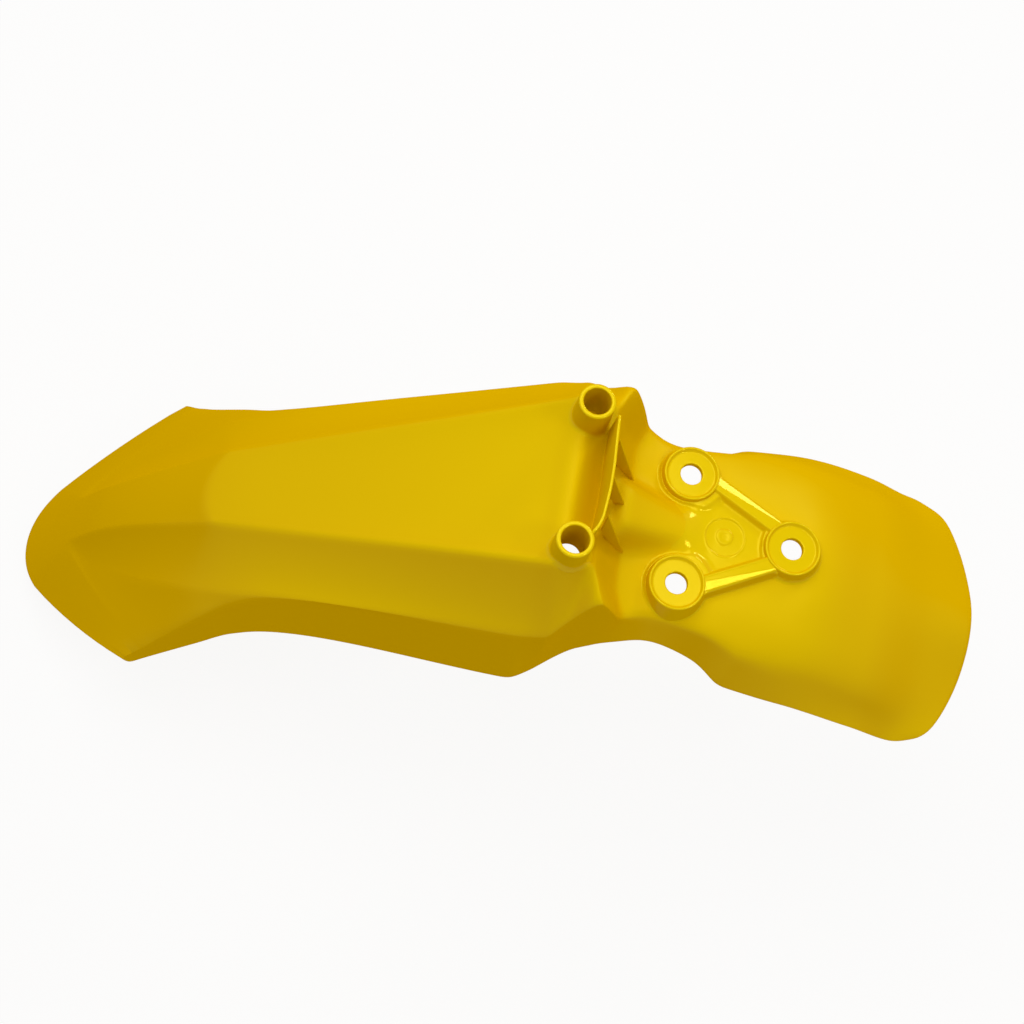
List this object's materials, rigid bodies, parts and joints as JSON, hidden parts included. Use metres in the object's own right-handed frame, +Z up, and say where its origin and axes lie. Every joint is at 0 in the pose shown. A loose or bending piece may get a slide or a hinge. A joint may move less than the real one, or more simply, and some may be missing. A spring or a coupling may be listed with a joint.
{
  "type": "motorcycle front mudguard",
  "caption": "Moulded plastic front mudguard of a motocross motorcycle, with bolt cups on a saddle, two tubes, a raised front panel and a crowned tail.",
  "frame": {"origin": "midway between the two front bolt cups, level with their seats", "axes": "+X to the rear of the motorcycle, +Y across it, +Z up along the axis of the bolt cups and the steering head"},
  "size_m": [0.713, 0.214, 0.4073],
  "materials": {
    "shell_plastic": "satin moulded polypropylene in saturated yellow"
  },
  "bodies": {
    "root": {"mudguard": "shell_plastic"}
  },
  "joints": []
}
